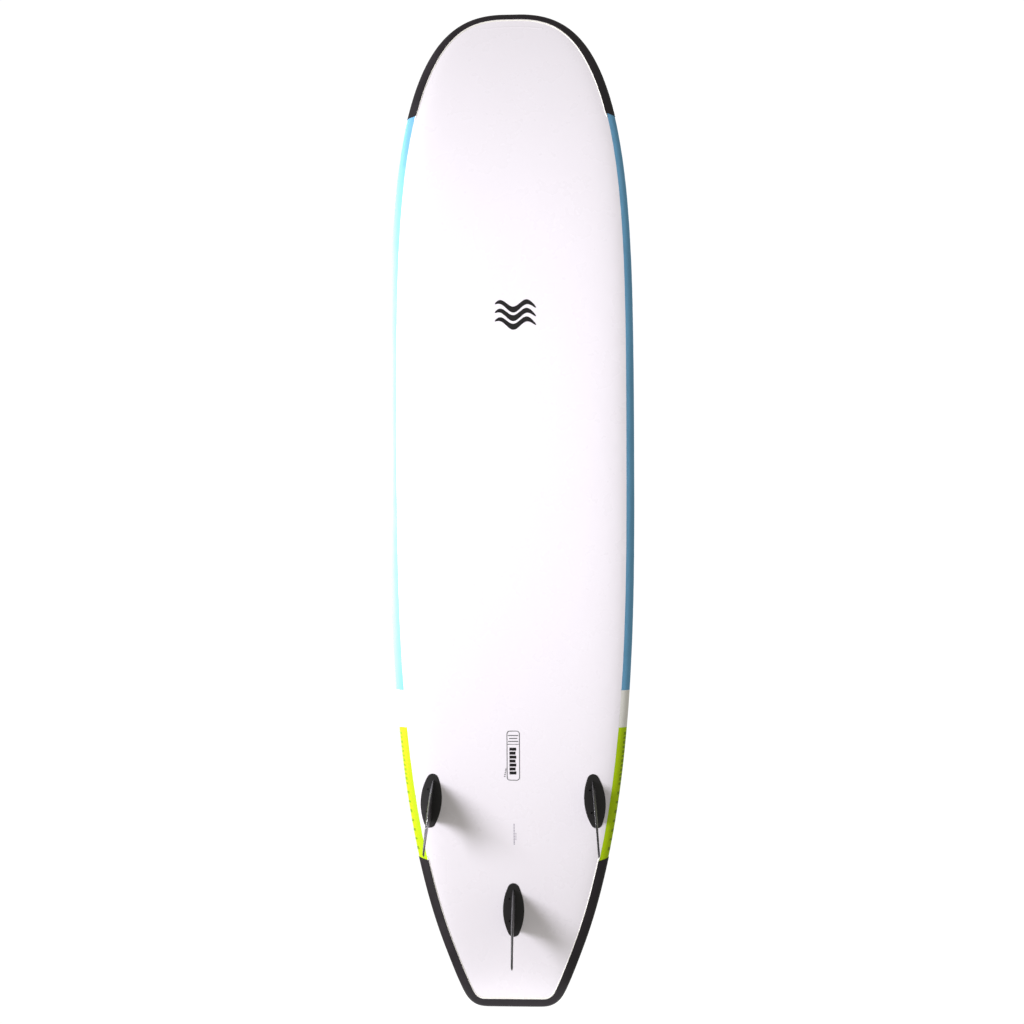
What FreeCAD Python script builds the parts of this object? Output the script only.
import FreeCAD, Part
import Sketcher
import math
import os
import re
from FreeCAD import Placement, Rotation, Vector

# Soft-top longboard, 9'0" x 26" x 3.5".
# The board stands on its tail: +Z runs from tail to nose, the hull (the side in the water)
# faces -Y and the deck +Y. The origin is the middle of the tail bumper's flat end face.
# Left and right are the rider's, who stands on the deck and looks to the nose: left is +X.

# alias, value, what it is (millimetres and degrees)
DRIVING_SIZES = (
    ("board_length", 2743, "tail end to nose tip"),
    ("half_breadth", 334.6, "half the greatest width"),
    ("widest_station", 1500, "distance from the tail to the greatest width"),
    ("board_thickness", 89, "greatest thickness"),
    ("hull_share", 0.354, "part of the thickness below the rail's apex"),
    ("nose_rocker", 120, "rise of the hull at the nose"),
    ("tail_rocker", 55, "rise of the hull at the tail"),
    ("flat_station", 1262, "station where the hull is level"),
    ("nose_thinning", 0.55, "part of the thickness lost at the nose"),
    ("tail_thinning", 0.52, "part of the thickness lost at the tail"),
    ("corner_radius", 60, "tail corner in plan"),
    ("nose_flat", 25, "half width of the flat on the nose tip"),
    ("end_land", 16, "height of the flat face at each end"),
    ("end_rounding", 17, "length over which the ends round off"),
    ("bumper_proud", 1.2, "height of the bumpers over the skins"),
    ("skin_thickness", 5, "foam skins of the hull and the deck"),
    ("laminate_thickness", 1.5, "glass and epoxy shell under the skins"),
    ("seam_inset_tail", 24.5, "edge of the hull skin, in from the outline beside the fins"),
    ("seam_inset_nose", 21.8, "edge of the hull skin, in from the outline near the nose"),
    ("seam_inset_end", 15, "edge of the hull skin's zone at either end, under the bumpers"),
    ("tail_end_inset", 23.5, "inner edge of the tail bumper, in from the outline at its end"),
    ("tail_side_inset", 26.5, "inner edge of the tail bumper beside the rails"),
    ("nose_side_inset", 24, "inner edge of the nose bumper beside the rails"),
    ("nose_tip_inset", 16.8, "inner edge of the nose bumper at its tip"),
    ("bumper_slope", 15, "slope of the bumpers' end cuts"),
    ("tail_bumper_end", 416, "station of the tail bumper's ends at the rail"),
    ("nose_bumper_end", 2444, "station of the nose bumper's ends at the rail"),
    ("stripe_start", 773, "deck skin of the tail to the stripe"),
    ("stripe_end", 874, "stripe to the main deck skin"),
    ("stringer_thickness", 3, "plywood stringers"),
    ("stringer_offset", 110, "side stringers from the centre line"),
    ("box_half_length", 74.5, "fin box in plan"),
    ("box_half_width", 29, "fin box in plan"),
    ("box_end_radius", 16, "round ends of the fin box"),
    ("box_depth", 30, "fin box below the hull"),
    ("side_box_station", 573, "side fin boxes from the tail"),
    ("side_box_offset", 222.4, "side fin boxes from the centre line"),
    ("side_cant", 0.5, "side fins lean outward"),
    ("side_toe", 4.5, "side fins point inward at the nose end"),
    ("centre_box_station", 272.8, "centre fin box from the tail"),
    ("fin_base", 115, "blade length at the hull"),
    ("fin_height", 127, "blade height"),
    ("fin_rake", 65, "tip behind the base's trailing edge"),
    ("fin_thickness", 9, "blade thickness at the hull"),
    ("fin_gap", 0.45, "blade above the box"),
    ("tab_length", 24, "fin tabs"),
    ("tab_thickness", 5.6, "fin tabs"),
    ("tab_depth", 14, "fin tabs below the hull"),
    ("tab_spacing", 62, "from one tab's middle to the other's"),
    ("tab_clearance", 0.25, "round each tab in its slot"),
    ("screw_diameter", 5, "grub screws"),
    ("screw_length", 8, "grub screws"),
    ("screw_tilt", 30, "grub screws from the box's axis"),
    ("screw_tip_depth", 9, "grub screw's tip below the hull"),
    ("screw_tip_gap", 0.2, "grub screw to fin tab"),
    ("socket_flats", 2.5, "hexagon socket"),
    ("socket_depth", 3, "hexagon socket"),
    ("plug_station", 150, "leash plug from the tail"),
    ("plug_flange_radius", 15, "leash plug"),
    ("plug_flange_height", 2, "leash plug"),
    ("plug_outer_radius", 13, "leash plug"),
    ("plug_bore_radius", 11, "leash plug"),
    ("plug_bore_depth", 20, "leash plug"),
    ("plug_floor", 2, "leash plug"),
    ("leash_bar_radius", 2, "bar that the leash string ties to"),
    ("leash_bar_depth", 7, "bar's axis below the deck"),
    ("leash_bar_half", 12.5, "half the bar's length"),
    ("fitting_proud", 0.8, "plugs stand above the deck"),
    ("vent_station", 1700, "vent plug from the tail"),
    ("vent_offset", -50, "vent plug beside the centre stringer"),
    ("vent_flange_radius", 10, "vent plug"),
    ("vent_flange_height", 2, "vent plug"),
    ("vent_outer_radius", 7, "vent plug"),
    ("vent_depth", 13, "vent plug"),
    ("vent_seat_radius", 6, "recess for the vent screw's head"),
    ("vent_seat_depth", 4, "recess for the vent screw's head"),
    ("vent_thread_radius", 3, "vent screw"),
    ("vent_thread_depth", 9, "end of the vent's thread below its rim"),
    ("vent_screw_end", 7, "end of the vent screw below the rim"),
    ("vent_head_radius", 5.8, "vent screw"),
    ("vent_head_underside", 2.2, "vent screw's head below the rim"),
    ("vent_head_top", 0.4, "vent screw's head below the rim"),
    ("coin_slot_width", 1.4, "slot across the vent screw"),
    ("coin_slot_depth", 1.1, "slot across the vent screw"),
    ("ring_radius", 4.2, "vent's O-ring, middle of its section"),
    ("ring_section_radius", 0.9, "vent's O-ring"),
    ("membrane_radius", 4.5, "breathing membrane under the vent's thread"),
    ("membrane_thickness", 0.5, "breathing membrane"),
)
SHEET_NAME = "Sizes"

HULL_FULLNESS = 10      # exponent of the hull's half of a cross-section: nearly flat
DECK_FULLNESS = 3       # exponent of the deck's half: domed
NOSE_FULLNESS = (3.8, 2.85)   # exponents of the nose's outline along and across the board
TAPER_MIDDLE = (0.48, 2.73)   # outline towards the tail: share of the half width, power
TAPER_TAIL = (0.167, 5.9)
ROCKER_POWERS = (2.2, 2.6)    # tail, nose
THINNING_POWERS = (2.4, 2.6)
SEAM_STOPS = ((0, "seam_inset_end"), (0.1, "seam_inset_tail"),  # share of the outline, width
              (0.9, "seam_inset_nose"), (1, "seam_inset_end"))
BUMPER_STOPS = ((0, "tail_end_inset"), (0.04, "tail_side_inset"), (0.2, "tail_side_inset"),
                (0.8, "nose_side_inset"), (0.9, "nose_side_inset"), (1, "nose_tip_inset"))
BLADE_SWEEP = (0.42, 0.55)    # leading edge: even sweep and curve to the tip, share of the base
BLADE_BELLY = 0.16            # trailing edge's outward curve near the base
BLADE_THINNING = 0.4          # part of the blade's thickness lost at the tip
BLADE_FULLNESS = 0.35         # how far the foil's thickest part lies to the leading edge
SIDE_FOIL = (0.9, 0.85, 0.28)  # side fins: flatness of the inner face, thickness, shift
STATION_COUNT = 44      # sections along half of the outline
SECTION_POINTS = 48     # points round one section
SKIN_BAYS = 8           # patches of the board's surface from tail to nose
OUTSIDE = 60            # how far a cutting tool reaches past the board

doc = FreeCAD.newDocument("longboard")
sheet = doc.addObject("Spreadsheet::Sheet", SHEET_NAME)
for row, (alias, value, meaning) in enumerate(DRIVING_SIZES, start=1):
    sheet.set("A%d" % row, meaning)
    sheet.set("B%d" % row, str(value))
    sheet.setAlias("B%d" % row, alias)
doc.recompute()
CELLS = {alias: SHEET_NAME + "." + alias for alias, value, meaning in DRIVING_SIZES}
nodes = []


def size(alias):
    """A driving dimension's value."""
    return float(sheet.get(alias))


def formula(text):
    """An expression with the sheet's name put before each alias in it."""
    return re.sub(r"[a-z_]+", lambda word: CELLS.get(word.group(), word.group()), text)


def bind(target, **expressions):
    """Binds properties of an object to expressions over the sheet's cells."""
    for name, text in expressions.items():
        target.setExpression(name, formula(text))


def keep(target, name):
    """Registers an object as a finished piece of the board under its own name."""
    target.Label = name
    nodes.append(target)
    return target


# --- document objects -----------------------------------------------------------------------

def computed(name, shape, placement=Placement()):
    """A shape that no parametric feature describes."""
    feature = doc.addObject("Part::Feature", name)
    feature.Shape = shape
    feature.Placement = placement
    return feature


def boolean(kind, name, base, tool):
    result = doc.addObject("Part::" + kind, name)
    result.Base = base
    result.Tool = tool
    return result


def fused(name, parts):
    result = doc.addObject("Part::MultiFuse", name)
    result.Shapes = parts
    return result


def hollowed(name, base, tools):
    """The base with the room for the fittings taken out of it."""
    tool = tools[0] if len(tools) == 1 else fused(name + "_room", tools)
    return boolean("Cut", name, base, tool)


def box(name, low, high):
    """A box between two corners, each given as three expressions."""
    block = doc.addObject("Part::Box", name)
    bind(block, **{"Placement.Base." + axis: low[i] for i, axis in enumerate("xyz")})
    spans = ["(%s) - (%s)" % (high[i], low[i]) for i in range(3)]
    bind(block, Length=spans[0], Width=spans[1], Height=spans[2])
    return block


def cylinder(name, radius, height, placement):
    rod = doc.addObject("Part::Cylinder", name)
    bind(rod, Radius=radius, Height=height)
    rod.Placement = placement
    return rod


def draw_polygon(sketch, corners):
    """A closed polygon in a sketch, each corner bound to two expressions."""
    count = len(corners)
    rough = [Vector(math.cos(2 * math.pi * i / count), math.sin(2 * math.pi * i / count), 0)
             for i in range(count)]
    for i in range(count):
        sketch.addGeometry(Part.LineSegment(rough[i], rough[(i + 1) % count]), False)
    for i in range(count):
        sketch.addConstraint(Sketcher.Constraint("Coincident", i, 2, (i + 1) % count, 1))
    for i, corner in enumerate(corners):
        for kind, text in zip(("DistanceX", "DistanceY"), corner):
            index = sketch.addConstraint(Sketcher.Constraint(kind, -1, 1, i, 1, 1.0))
            sketch.setExpression("Constraints[%d]" % index, formula(text))


def body_sketch(body, name, role):
    """A sketch on one of the body's own origin planes."""
    sketch = body.newObject("Sketcher::SketchObject", name)
    plane = [item for item in body.Origin.OriginFeatures if item.Role == role][0]
    sketch.AttachmentSupport = [(plane, "")]
    sketch.MapMode = "FlatFace"
    return sketch


def turned_body(name, corners, placement):
    """A body turned from a half profile of (radius, height) corners."""
    body = doc.addObject("PartDesign::Body", name)
    sketch = body_sketch(body, name + "_profile", "XZ_Plane")
    draw_polygon(sketch, corners)
    turned = body.newObject("PartDesign::Revolution", name + "_turned")
    turned.Profile = sketch
    turned.ReferenceAxis = (sketch, ["V_Axis"])
    turned.Angle = 360
    body.Placement = placement
    return body


def pocketed(body, name, corners, depth, top):
    """Cuts a polygonal recess down into a body from the given height."""
    sketch = body_sketch(body, name + "_outline", "XY_Plane")
    draw_polygon(sketch, corners)
    sketch.setExpression("AttachmentOffset.Base.z", formula(top))
    pocket = body.newObject("PartDesign::Pocket", name)
    pocket.Profile = sketch
    bind(pocket, Length=depth)


# --- the board's outer form -----------------------------------------------------------------

def half_width(station):
    """Half the board's width at a station, without the tail's rounded corners."""
    widest = size("widest_station")
    if station > widest:
        along, across = NOSE_FULLNESS
        reach = (station - widest) / (size("board_length") - widest)
        return size("half_breadth") * (1 - reach ** along) ** (1 / across)
    reach = (widest - station) / widest
    loss = sum(share * reach ** power for share, power in (TAPER_MIDDLE, TAPER_TAIL))
    return size("half_breadth") * (1 - loss)


def outline_points():
    """Points of the right-hand outline from the tail's flat, round the corner, to the nose."""
    radius = size("corner_radius")
    length = size("board_length")
    widest = size("widest_station")
    leave = math.atan(half_width(radius / 2 + 1) - half_width(radius / 2))
    corner_end = radius * (1 - math.sin(leave))
    flat = half_width(corner_end) - radius * math.cos(leave)
    sweep = math.pi / 2 - leave
    corner_steps = 5
    points = []
    for i in range(corner_steps + 1):
        angle = sweep * i / corner_steps
        points.append(Vector(flat + radius * math.sin(angle), 0, radius * (1 - math.cos(angle))))
    tail_steps = 10
    for i in range(1, tail_steps + 1):
        station = corner_end + (widest - corner_end) * (i / tail_steps) ** 1.3
        points.append(Vector(half_width(station), 0, station))
    along, across = NOSE_FULLNESS
    tip_angle = math.acos((size("nose_flat") / size("half_breadth")) ** (across / 2))
    nose_steps = 16
    for i in range(1, nose_steps + 1):
        angle = tip_angle * i / nose_steps
        width = size("half_breadth") * math.cos(angle) ** (2 / across)
        station = widest + (length - widest) * math.sin(angle) ** (2 / along)
        points.append(Vector(width, 0, station))
    points[-1].z = length
    return points


outline = Part.BSplineCurve()
outline.interpolate(Points=outline_points())
outline_edge = outline.toShape()


def on_outline(share, inset):
    """Point at a share of the outline's length, moved square to it into the board."""
    parameter = outline_edge.getParameterByLength(outline_edge.Length * share)
    point = outline_edge.valueAt(parameter)
    along = outline_edge.tangentAt(parameter)
    if share == 0:
        along = Vector(1, 0, 0)
    elif share == 1:
        along = Vector(-1, 0, 0)
    return point - Vector(along.z, 0, -along.x) * inset


def rocker(station):
    """Height of the hull's centre line over its lowest station."""
    level = size("flat_station")
    tail_power, nose_power = ROCKER_POWERS
    if station > level:
        reach = (station - level) / (size("board_length") - level)
        return size("nose_rocker") * reach ** nose_power
    return size("tail_rocker") * ((level - station) / level) ** tail_power


def thickness(station):
    """Thickness at the centre line, without the rounded ends."""
    middle = size("board_length") / 2
    tail_power, nose_power = THINNING_POWERS
    if station > middle:
        lost = size("nose_thinning") * ((station - middle) / middle) ** nose_power
    else:
        lost = size("tail_thinning") * ((middle - station) / middle) ** tail_power
    return size("board_thickness") * (1 - lost)


def apex_height(station):
    """Y of the rail's apex, where the hull's and the deck's halves meet."""
    height = rocker(station) + size("hull_share") * thickness(station)
    tail_height = size("tail_rocker") + size("hull_share") * thickness(0)
    return height - tail_height - (0.5 - size("hull_share")) * size("end_land")


def section_point(share, angle, inset):
    """Point of a cross-section of the form that lies inside the board's surface by inset."""
    rail = on_outline(share, inset)
    station = min(max(rail.z, 0), size("board_length"))
    rounding = size("end_rounding") - inset
    land = size("end_land") - 1.7 * inset
    from_end = min(station - inset, size("board_length") - inset - station)
    from_end = min(max(from_end, 0), rounding)
    full = thickness(station) - 2 * inset
    height = land + (full - land) * math.sqrt(1 - (1 - from_end / rounding) ** 2)
    side = math.sin(angle)
    if math.cos(angle) >= 0:
        drop = -size("hull_share") * height * (1 - abs(side) ** HULL_FULLNESS) ** 0.5
    else:
        drop = (1 - size("hull_share")) * height * (1 - abs(side) ** DECK_FULLNESS) ** 0.5
    return Vector(rail.x * side, apex_height(station) + drop, rail.z)


def solid_through(sections, bays=1):
    """A solid whose skin passes through closed flat sections, with its two ends flat.

    The skin is made of patches: two round the section, and so many bays along the solid.
    """
    station_knots = [i / (len(sections) - 1) for i in range(len(sections))]
    around_knots = [j / len(sections[0]) for j in range(len(sections[0]) + 1)]
    rings = []
    for points in sections:
        ring = Part.BSplineCurve()
        ring.interpolate(Points=points, PeriodicFlag=True, Parameters=around_knots)
        rings.append(ring)
    ring_poles = [ring.getPoles() for ring in rings]
    lines = []
    for j in range(len(ring_poles[0])):
        line = Part.BSplineCurve()
        line.interpolate(Points=[poles[j] for poles in ring_poles], Parameters=station_knots)
        lines.append(line)
    line_poles = [line.getPoles() for line in lines]
    net = [[poles[i] for poles in line_poles] for i in range(len(line_poles[0]))]
    skin = Part.BSplineSurface()
    skin.buildFromPolesMultsKnots(net, lines[0].getMultiplicities(), rings[0].getMultiplicities(),
                                  lines[0].getKnots(), rings[0].getKnots(), False, True, 3, 3)
    faces = []
    rims = {0: [], 1: []}
    for side in range(2):
        for bay in range(bays):
            patch = skin.copy()
            patch.segment(bay / bays, (bay + 1) / bays, side / 2, (side + 1) / 2)
            faces.append(patch.toShape())
            for end in rims:
                if bay == end * (bays - 1):
                    rims[end].append(patch.uIso(end).toShape())
    faces += [Part.Face(Part.Wire(edges)) for edges in rims.values()]
    shell = Part.Shell(faces)
    shell.sewShape()
    solid = Part.Solid(shell)
    if solid.Volume < 0:
        solid.reverse()
    return solid


def board_form(name, inset):
    """The whole board's shape, its surface moved inward by inset."""
    sections = []
    for i in range(STATION_COUNT + 1):
        share = (1 - math.cos(math.pi * i / STATION_COUNT)) / 2
        sections.append([section_point(share, 2 * math.pi * j / SECTION_POINTS, inset)
                         for j in range(SECTION_POINTS)])
    return computed(name, solid_through(sections, SKIN_BAYS))


proud = size("bumper_proud")
under_skin = proud + size("skin_thickness")
under_laminate = under_skin + size("laminate_thickness")
bumper_form = board_form("bumper_form", 0)
skin_form = board_form("skin_form", proud)
laminate_form = board_form("laminate_form", under_skin)
core_form = board_form("core_form", under_laminate)


def surface_point(form, x, station, on_deck):
    """Where a line square to the board meets the form's hull or deck."""
    reach = size("board_thickness") + size("nose_rocker") + OUTSIDE
    line = Part.makeLine(Vector(x, -reach, station), Vector(x, reach, station))
    heights = [vertex.Y for vertex in line.common(form.Shape).Vertexes]
    return Vector(x, max(heights) if on_deck else min(heights), station)


def seat(x, station, on_deck, lean=None, toe=0):
    """Placement on the surface: local X to the nose, local Z out of the board.

    lean turns local Z about the board's length away from -Y, in place of the surface's tilt.
    """
    step = 5
    here = surface_point(skin_form, x, station, on_deck)
    ahead = surface_point(skin_form, x, station + step, on_deck) - here
    aside = surface_point(skin_form, x + step, station, on_deck) - here
    out = aside.cross(ahead).normalize()
    if (out.y > 0) != on_deck:
        out = -out
    if lean is not None:
        out.x = math.tan(math.radians(lean)) * abs(out.y)
        out.normalize()
    forward = Vector(-math.tan(math.radians(toe)), 0, 1)
    forward = (forward - out * forward.dot(out)).normalize()
    return Placement(here, Rotation(forward, out.cross(forward), out, "ZXY"))


# --- tools that part the layers -------------------------------------------------------------

def width_at(stops, share):
    """A width at a share of the outline, blended between stops of (share, alias)."""
    for (low, start), (high, end) in zip(stops, stops[1:]):
        if share <= high:
            reach = (share - low) / (high - low)
            blend = reach ** 2 * (3 - 2 * reach)
            return size(start) + (size(end) - size(start)) * blend
    return size(stops[-1][1])


def plan_prism(name, stops):
    """Everything further inside the outline than a width, right through the board."""
    steps = 60
    shares = [(1 - math.cos(math.pi * i / steps)) / 2 for i in range(steps + 1)]
    right = [on_outline(share, width_at(stops, share)) for share in shares]
    left = [Vector(-point.x, 0, point.z) for point in right]
    edges = []
    for points in (right, left[::-1]):
        side = Part.BSplineCurve()
        side.interpolate(Points=points)
        edges.append(side.toShape())
    edges.insert(1, Part.makeLine(right[-1], left[-1]))
    edges.append(Part.makeLine(left[0], right[0]))
    face = computed(name + "_outline", Part.Face(Part.Wire(edges)))
    return through_board(name, face, Vector(0, 1, 0), "board_thickness + nose_rocker")


def through_board(name, face, direction, half_length):
    """A flat shape pulled both ways, past the board's surfaces."""
    tool = doc.addObject("Part::Extrusion", name)
    tool.Base = face
    tool.DirMode = "Custom"
    tool.Dir = direction
    tool.Solid = True
    tool.Symmetric = True
    bind(tool, LengthFwd="2 * (%s + %d)" % (half_length, OUTSIDE))
    return tool


def end_zone(name, end_station, apex_sign, limit):
    """A zone at one end of the board, cut off by two slopes that meet on the centre line."""
    rise = "tan(bumper_slope)"
    rail = half_width(size(end_station))
    apex = "%s + %s * %g * %s" % (end_station, apex_sign, rail, rise)
    reach = "half_breadth + %d" % OUTSIDE
    outer = "%s + %s * (%g - half_breadth - %d) * %s" % (end_station, apex_sign, rail,
                                                           OUTSIDE, rise)
    sketch = doc.addObject("Sketcher::SketchObject", name + "_outline")
    sketch.Placement = Placement(Vector(), Rotation(Vector(1, 0, 0), 90))
    draw_polygon(sketch, [("0", apex), (reach, outer), (reach, limit),
                          ("0 - (%s)" % reach, limit), ("0 - (%s)" % reach, outer)])
    return through_board(name, sketch, Vector(0, 1, 0), "board_thickness + nose_rocker")


def hull_block_tool():
    """Everything on the hull's side of the rails' apex."""
    length = size("board_length")
    steps = 30
    stations = [-OUTSIDE] + [length * i / steps for i in range(steps + 1)] + [length + OUTSIDE]
    apex = [Vector(0, apex_height(min(max(station, 0), length)), station)
            for station in stations]
    curve = Part.BSplineCurve()
    curve.interpolate(Points=apex[1:-1])
    below = -size("board_thickness") - size("tail_rocker") - OUTSIDE
    low = [Vector(0, below, apex[-1].z), Vector(0, below, apex[0].z)]
    wire = Part.Wire([Part.makeLine(apex[0], apex[1]), curve.toShape(),
                      Part.makeLine(apex[-2], apex[-1]), Part.makeLine(apex[-1], low[0]),
                      Part.makeLine(low[0], low[1]), Part.makeLine(low[1], apex[0])])
    face = computed("hull_block_outline", Part.Face(wire))
    return through_board("hull_block", face, Vector(1, 0, 0), "half_breadth")


def across_board(name, low_x, low_z, high_x, high_z):
    """A block right through the board between two stations and two offsets."""
    deep = "board_thickness + nose_rocker + %d" % OUTSIDE
    return box(name, (low_x, "0 - (%s)" % deep, low_z), (high_x, deep, high_z))


LEFT_SIDE = "half_breadth + %d" % OUTSIDE
RIGHT_SIDE = "0 - half_breadth - %d" % OUTSIDE
BEFORE_TAIL = "0 - %d" % OUTSIDE
PAST_NOSE = "board_length + %d" % OUTSIDE

hull_block = hull_block_tool()
seam_prism = plan_prism("seam_prism", SEAM_STOPS)
bumper_prism = plan_prism("bumper_prism", BUMPER_STOPS)
tail_zone = end_zone("tail_zone", "tail_bumper_end", "-1", BEFORE_TAIL)
nose_zone = end_zone("nose_zone", "nose_bumper_end", "1", PAST_NOSE)
doc.recompute()


# --- fins, their boxes and screws -----------------------------------------------------------

def box_outline():
    """The fin box's oval: two long arcs, and a small arc at each end, all tangent."""
    length = size("box_half_length")
    width = size("box_half_width")
    tip = size("box_end_radius")
    centre = length - tip
    radius = (centre ** 2 + width ** 2 - tip ** 2) / (2 * (width - tip))
    joint = math.atan2(radius - width, centre)
    touch = Vector(centre + tip * math.cos(joint), tip * math.sin(joint), 0)
    flip = (Vector(touch.x, -touch.y), Vector(-touch.x, -touch.y), Vector(-touch.x, touch.y))
    return Part.Wire([
        Part.Arc(flip[0], Vector(length, 0, 0), touch).toShape(),
        Part.Arc(touch, Vector(0, width, 0), flip[2]).toShape(),
        Part.Arc(flip[2], Vector(-length, 0, 0), flip[1]).toShape(),
        Part.Arc(flip[1], Vector(0, -width, 0), flip[0]).toShape(),
    ])


def fin_blade(name, side, placement):
    """A raked blade: side 0 is foiled on both faces, +1 or -1 is flat towards local -Y or +Y."""
    base = size("fin_base")
    height = size("fin_height")
    rake = size("fin_rake")
    root = size("fin_thickness")
    foot = size("bumper_proud") + size("fin_gap")
    flatness, share, shift = SIDE_FOIL if side else (0, 1, 0)
    heights = 16
    around = 28
    tip_reach = 0.996
    sections = []
    for i in range(heights + 1):
        reach = tip_reach * math.sin(math.pi / 2 * i / heights)
        curve = (rake + BLADE_SWEEP[1] * base) * (1 - math.sqrt(1 - reach ** 2))
        leading = base / 2 - BLADE_SWEEP[0] * base * reach - curve
        belly = BLADE_BELLY * base * reach * (1 - reach)
        trailing = -base / 2 + belly - rake * reach ** 2.2
        chord = leading - trailing
        thick = root * share * (1 - BLADE_THINNING * reach)
        level = foot + (height - foot) * reach / tip_reach
        ring = []
        for j in range(around):
            angle = 2 * math.pi * j / around
            bow = math.sin(angle) + flatness * math.sin(angle) ** 2
            across = thick / 2 * bow * (1 + BLADE_FULLNESS * math.cos(angle)) - shift * root
            ring.append(Vector(trailing + chord / 2 * (1 + math.cos(angle)),
                               across * (side or 1), level))
        sections.append(ring)
    return computed(name, solid_through(sections), placement)


def tab_pair(name, clearance, top):
    """The fin's two tabs, or with clearance the slots that they go into, in local axes."""
    grow = "tab_clearance * %d" % clearance
    blocks = []
    for label, sign in (("front", "1"), ("rear", "-1")):
        middle = "%s * tab_spacing / 2" % sign
        low = ("%s - tab_length / 2 - %s" % (middle, grow), "0 - tab_thickness / 2 - %s" % grow,
               "0 - tab_depth - %s * 4" % grow)
        high = ("%s + tab_length / 2 + %s" % (middle, grow), "tab_thickness / 2 + %s" % grow, top)
        blocks.append(box("%s_%s" % (name, label), low, high))
    return blocks


def grub_screw(name, placement):
    """A headless screw with its socket at the origin and its body down local -Z."""
    radius = "screw_diameter / 2"
    tip = "screw_diameter / 2 - 0.6"
    body = turned_body(name, [("0", "0"), (radius, "0"), (radius, "0.6 - screw_length"),
                              (tip, "0 - screw_length"), ("0", "0 - screw_length")], placement)
    corners = []
    for i in range(6):
        turn = math.radians(60 * i)
        corners.append(("socket_flats / sqrt(3) * %.6f" % math.cos(turn),
                        "socket_flats / sqrt(3) * %.6f" % math.sin(turn)))
    pocketed(body, name + "_socket", corners, "socket_depth", "0")
    return body


def screw_seats(placement):
    """Where the two grub screws' socket ends sit beside the fin's tabs."""
    tilt = math.radians(size("screw_tilt"))
    radius = size("screw_diameter") / 2
    inward = Vector(0, -math.sin(tilt), -math.cos(tilt))
    tip_offset = size("tab_thickness") / 2 + size("screw_tip_gap") + radius * math.cos(tilt)
    seats = []
    for sign in (1, -1):
        tip = Vector(sign * size("tab_spacing") / 2, tip_offset, -size("screw_tip_depth"))
        head = tip - inward * size("screw_length")
        turn = Rotation(Vector(1, 0, 0), -math.degrees(tilt))
        seats.append(placement.multiply(Placement(head, turn)))
    return seats


def build_fin(label, placement, side):
    """One fin with its box and its pair of grub screws; returns the tool that clears its box."""
    oval = computed("fin_box_outline_" + label, Part.Face(box_outline()), placement)
    room = doc.addObject("Part::Extrusion", "fin_box_room_" + label)
    room.Base = oval
    room.DirMode = "Custom"
    room.Dir = placement.Rotation.multVec(Vector(0, 0, 1))
    room.Solid = True
    bind(room, LengthFwd="skin_thickness * 2", LengthRev="box_depth")

    slots = fused("fin_slots_" + label, tab_pair("fin_slot_" + label, 1, "skin_thickness"))
    slots.Placement = placement
    seats = screw_seats(placement)
    drilled = []
    screws = []
    for number, spot in enumerate(seats, start=1):
        down = Placement(Vector(0, 0, -size("screw_length")), Rotation())
        drilled.append(cylinder("screw_bore_%s_%d" % (label, number), "screw_diameter / 2",
                                "screw_length * 2", spot.multiply(down)))
        screws.append(grub_screw("screw_%s_%d" % (label, number), spot))
    blank = boolean("Common", "fin_box_blank_" + label, room, bumper_form)
    keep(hollowed("fin_box_" + label, blank, [slots] + drilled), "fin_box_" + label)

    blade = fin_blade("fin_blade_" + label, side, placement)
    tabs = fused("fin_tabs_" + label, tab_pair("fin_tab_" + label, 0, "bumper_proud * 3"))
    tabs.Placement = placement
    keep(fused("fin_" + label, [blade, tabs]), "fin_" + label)

    pair = doc.addObject("Part::Compound", "fin_screws_" + label)
    pair.Links = screws
    keep(pair, "fin_screws_" + label)
    return room


side_offset = size("side_box_offset")
side_station = size("side_box_station")
box_rooms = {}
for label, sign in (("left", 1), ("right", -1)):
    spot = seat(sign * side_offset, side_station, False, sign * size("side_cant"),
                sign * size("side_toe"))
    box_rooms[label] = build_fin(label, spot, -sign)
box_rooms["centre"] = build_fin("centre", seat(0, size("centre_box_station"), False), 0)


# --- deck fittings --------------------------------------------------------------------------

def leash_plug():
    """Cup and bar for the leash's string; returns the tool that clears the cup."""
    here = seat(0, size("plug_station"), True)
    here.Base = here.Base + here.Rotation.multVec(Vector(0, 0, size("fitting_proud")))
    outer = [("0", "0 - plug_bore_depth - plug_floor"),
             ("plug_outer_radius", "0 - plug_bore_depth - plug_floor"),
             ("plug_outer_radius", "0 - plug_flange_height"),
             ("plug_flange_radius", "0 - plug_flange_height")]
    bore = [("plug_bore_radius", "0"), ("plug_bore_radius", "0 - plug_bore_depth"),
            ("0", "0 - plug_bore_depth")]
    cup = turned_body("leash_cup_blank", outer + [("plug_flange_radius", "0")] + bore, here)
    room = turned_body("leash_cup_room", outer + [("plug_flange_radius", "skin_thickness"),
                                                  ("0", "skin_thickness")], here)
    across = Placement(Vector(0, -size("leash_bar_half"), -size("leash_bar_depth")),
                       Rotation(Vector(1, 0, 0), -90))
    bar = cylinder("leash_plug_bar", "leash_bar_radius", "leash_bar_half * 2",
                   here.multiply(across))
    keep(boolean("Cut", "leash_plug_cup", cup, bar), "leash_plug_cup")
    keep(bar, "leash_plug_bar")
    return room


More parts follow.
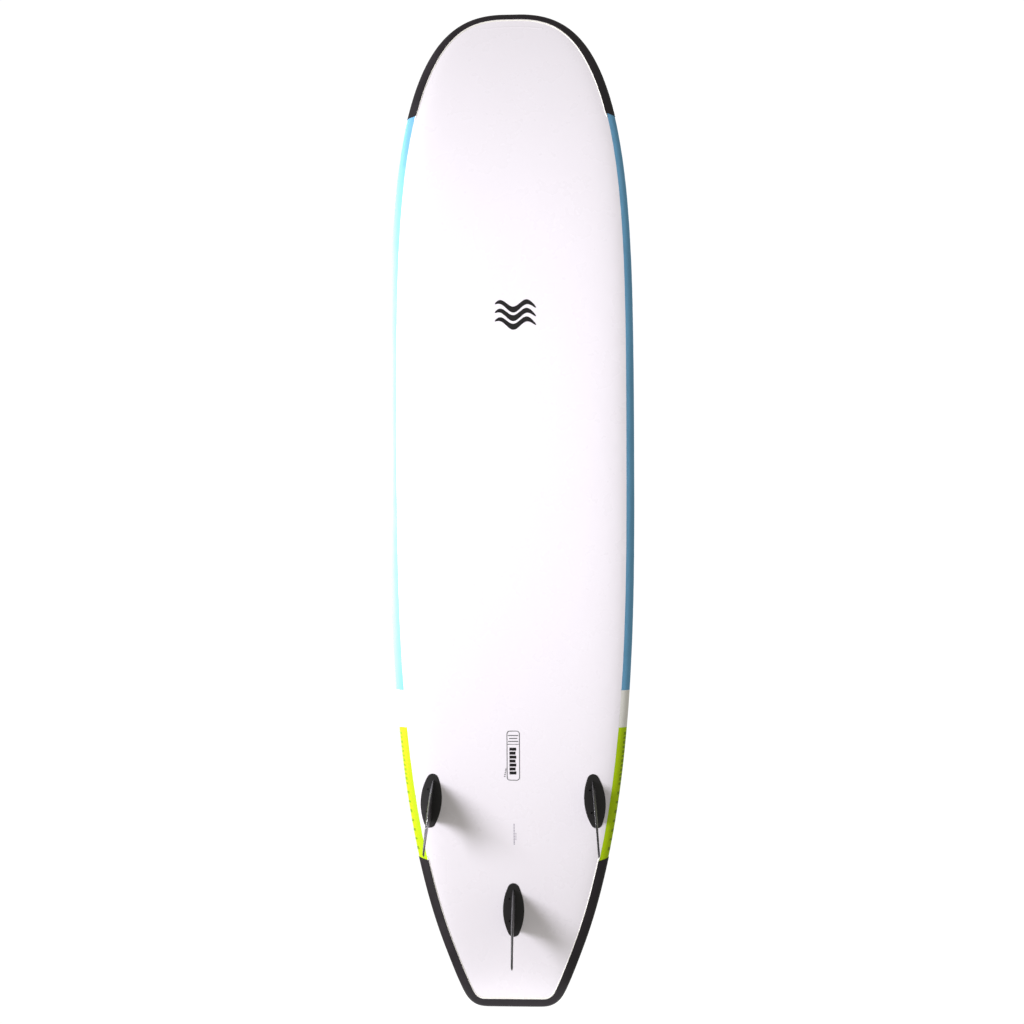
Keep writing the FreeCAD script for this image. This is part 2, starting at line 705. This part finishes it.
def vent_plug():
    """Breathing vent with its screw, O-ring and membrane; returns the tool that clears it."""
    here = seat(size("vent_offset"), size("vent_station"), True)
    here.Base = here.Base + here.Rotation.multVec(Vector(0, 0, size("fitting_proud")))
    outer = [("vent_outer_radius", "0 - vent_depth"),
             ("vent_outer_radius", "0 - vent_flange_height"),
             ("vent_flange_radius", "0 - vent_flange_height")]
    inner = [("vent_flange_radius", "0"), ("vent_seat_radius", "0"),
             ("vent_seat_radius", "0 - vent_seat_depth"),
             ("vent_thread_radius", "0 - vent_seat_depth"),
             ("vent_thread_radius", "0 - vent_thread_depth"),
             ("membrane_radius", "0 - vent_thread_depth"),
             ("membrane_radius", "0 - vent_depth")]
    keep(turned_body("vent_body", outer + inner, here), "vent_body")
    room = turned_body("vent_room", [("0", "0 - vent_depth")] + outer + [
        ("vent_flange_radius", "skin_thickness"), ("0", "skin_thickness")], here)

    screw = turned_body("vent_screw", [
        ("0", "0 - vent_screw_end"), ("vent_thread_radius", "0 - vent_screw_end"),
        ("vent_thread_radius", "0 - vent_head_underside"),
        ("vent_head_radius", "0 - vent_head_underside"),
        ("vent_head_radius", "0 - vent_head_top"), ("0", "0 - vent_head_top")], here)
    half_slot = "coin_slot_width / 2"
    reach = "vent_head_radius - 1"
    pocketed(screw, "coin_slot", [
        (reach, half_slot), ("0 - (%s)" % reach, half_slot),
        ("0 - (%s)" % reach, "0 - (%s)" % half_slot), (reach, "0 - (%s)" % half_slot)],
        "coin_slot_depth", "0 - vent_head_top")
    keep(screw, "vent_screw")

    ring = doc.addObject("Part::Torus", "vent_o_ring")
    bind(ring, Radius1="ring_radius", Radius2="ring_section_radius")
    up = size("ring_section_radius") - size("vent_seat_depth")
    ring.Placement = here.multiply(Placement(Vector(0, 0, up), Rotation()))
    keep(ring, "vent_o_ring")

    under = -size("vent_thread_depth") - size("membrane_thickness")
    disc = cylinder("vent_membrane", "membrane_radius", "membrane_thickness",
                    here.multiply(Placement(Vector(0, 0, under), Rotation())))
    keep(disc, "vent_membrane")
    return room


leash_room = leash_plug()
vent_room = vent_plug()


# --- bumpers and skins ----------------------------------------------------------------------

bumper_layer = boolean("Cut", "bumper_layer", bumper_form, laminate_form)
for label, zone in (("nose", nose_zone), ("tail", tail_zone)):
    end = boolean("Common", label + "_end", bumper_layer, zone)
    keep(boolean("Cut", label + "_bumper", end, bumper_prism), label + "_bumper")

bumper_region = boolean("Cut", "bumper_region", fused("end_zones", [tail_zone, nose_zone]),
                        bumper_prism)
skin_layer = boolean("Cut", "skin_layer", skin_form, laminate_form)
skins = boolean("Cut", "skins", skin_layer, bumper_region)
hull_region = boolean("Common", "hull_region", hull_block, seam_prism)
hull_sheet = boolean("Common", "hull_sheet", skins, hull_region)
keep(hollowed("hull_skin", hull_sheet, list(box_rooms.values())), "hull_skin")

deck_sheet = boolean("Cut", "deck_sheet", skins, hull_region)
for label, start, end, tools in (
        ("deck_skin_tail", BEFORE_TAIL, "stripe_start", [leash_room]),
        ("deck_skin_stripe", "stripe_start", "stripe_end", []),
        ("deck_skin_main", "stripe_end", PAST_NOSE, [vent_room])):
    zone = across_board(label + "_zone", RIGHT_SIDE, start, LEFT_SIDE, end)
    if tools:
        sheet_part = boolean("Common", label + "_sheet", deck_sheet, zone)
        keep(hollowed(label, sheet_part, tools), label)
    else:
        keep(boolean("Common", label, deck_sheet, zone), label)


# --- laminate, stringers and foam core ------------------------------------------------------

laminate_layer = boolean("Cut", "laminate_layer", laminate_form, core_form)
hull_shell = boolean("Common", "hull_shell", laminate_layer, hull_block)
keep(hollowed("hull_laminate", hull_shell, list(box_rooms.values())), "hull_laminate")
deck_shell = boolean("Cut", "deck_shell", laminate_layer, hull_block)
keep(hollowed("deck_laminate", deck_shell, [leash_room, vent_room]), "deck_laminate")

HALF_STRINGER = "stringer_thickness / 2"
strips = (
    ("foam_outer_right", RIGHT_SIDE, "0 - stringer_offset - " + HALF_STRINGER,
     [box_rooms["right"]]),
    ("stringer_right", "0 - stringer_offset - " + HALF_STRINGER,
     "0 - stringer_offset + " + HALF_STRINGER, []),
    ("foam_inner_right", "0 - stringer_offset + " + HALF_STRINGER, "0 - " + HALF_STRINGER,
     [box_rooms["centre"], leash_room, vent_room]),
    ("stringer_centre", "0 - " + HALF_STRINGER, HALF_STRINGER,
     [box_rooms["centre"], leash_room]),
    ("foam_inner_left", HALF_STRINGER, "stringer_offset - " + HALF_STRINGER,
     [box_rooms["centre"], leash_room]),
    ("stringer_left", "stringer_offset - " + HALF_STRINGER,
     "stringer_offset + " + HALF_STRINGER, []),
    ("foam_outer_left", "stringer_offset + " + HALF_STRINGER, LEFT_SIDE,
     [box_rooms["left"]]),
)
for label, low, high, tools in strips:
    slab = across_board(label + "_slab", low, BEFORE_TAIL, high, PAST_NOSE)
    if tools:
        strip = boolean("Common", label + "_strip", core_form, slab)
        keep(hollowed(label, strip, tools), label)
    else:
        keep(boolean("Common", label, core_form, slab), label)


# --- checks and files -----------------------------------------------------------------------

doc.recompute()
for item in doc.Objects:
    if "Invalid" in item.State or "Error" in item.State:
        raise RuntimeError("%s failed: %s" % (item.Name, item.State))
for item in nodes:
    if item.Shape.isNull() or not item.Shape.isValid():
        raise RuntimeError("%s has no valid shape" % item.Label)

os.makedirs("parts", exist_ok=True)
for item in nodes:
    item.Shape.exportStep("parts/%s.step" % item.Label)
    print("%-18s %2d solids %12.1f mm3" % (item.Label, len(item.Shape.Solids), item.Shape.Volume))
